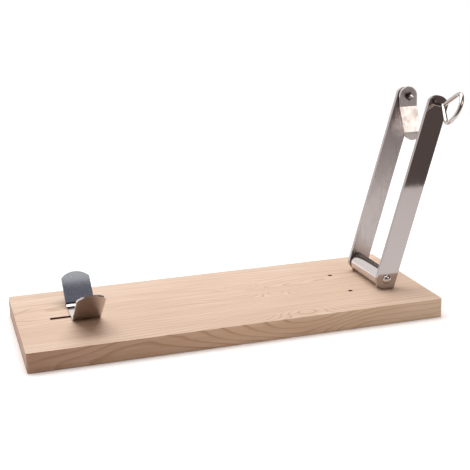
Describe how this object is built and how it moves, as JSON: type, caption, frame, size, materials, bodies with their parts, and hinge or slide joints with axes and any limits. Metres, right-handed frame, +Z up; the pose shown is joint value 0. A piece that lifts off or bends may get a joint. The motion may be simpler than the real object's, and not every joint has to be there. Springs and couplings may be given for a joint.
{
  "type": "folding ham holder",
  "caption": "Long wooden board with a sliding bent-steel cradle and a pair of folding flat clamp arms carrying a swinging jaw plate and a clamp screw.",
  "frame": {"origin": "centre of the board's underside", "axes": "+X along the board from the cradle to the arms, +Y from the clamp screw to the jaw, +Z up"},
  "size_m": [0.5096, 0.195, 0.2589],
  "materials": {
    "board_wood": "smooth, light, lightly oiled",
    "polished_steel": "mirror-polished sheet and bar",
    "plated_fasteners": "bright",
    "bright_wire": "bright bent rod",
    "pad_plastic": "smooth, blue-grey, slightly glossy"
  },
  "bodies": {
    "base": {"board": "board_wood", "hinge_bracket": "polished_steel", "bracket_screws": "plated_fasteners"},
    "arms": {"near_arm": "polished_steel", "far_arm": "polished_steel", "hinge_bolt": "plated_fasteners", "dome_nuts": "plated_fasteners", "hinge_washers": "plated_fasteners", "jaw_washer": "plated_fasteners", "spike_pin": "bright_wire"},
    "jaw": {"jaw_plate": "polished_steel"},
    "foot": {"screw_foot": "bright_wire"},
    "screw": {"clamp_screw": "bright_wire"},
    "cradle_body": {"cradle": "polished_steel", "cradle_pad": "pad_plastic", "cradle_bolt": "plated_fasteners", "cradle_washer": "plated_fasteners", "cradle_nut": "plated_fasteners"}
  },
  "joints": [
    {"name": "arms_fold", "type": "hinge", "parent": "base", "child": "arms", "pos_m": [0.194, 0, 0.0353], "axis": [0, -1, 0], "range_deg": [0, 107]},
    {"name": "jaw_swivel", "type": "hinge", "parent": "arms", "child": "jaw", "pos_m": [0.25686, 0.0355, 0.24091], "axis": [0, -1, 0], "range_deg": [-15, 90]},
    {"name": "screw_feed", "type": "slide", "parent": "arms", "child": "foot", "axis": [0, 1, 0], "range_m": [-0.0032, 0.008]},
    {"name": "screw_turn", "type": "hinge", "parent": "foot", "child": "screw", "pos_m": [0.25686, -0.05, 0.24091], "axis": [0, 1, 0], "range_deg": [-1440, 3600]},
    {"name": "cradle_slide", "type": "slide", "parent": "base", "child": "cradle_body", "axis": [1, 0, 0], "range_m": [-0.035, 0.014]}
  ],
  "couplings": [
    {"joint": "screw_feed", "follows": "screw_turn", "m_per_rad": 0.00012732}
  ]
}
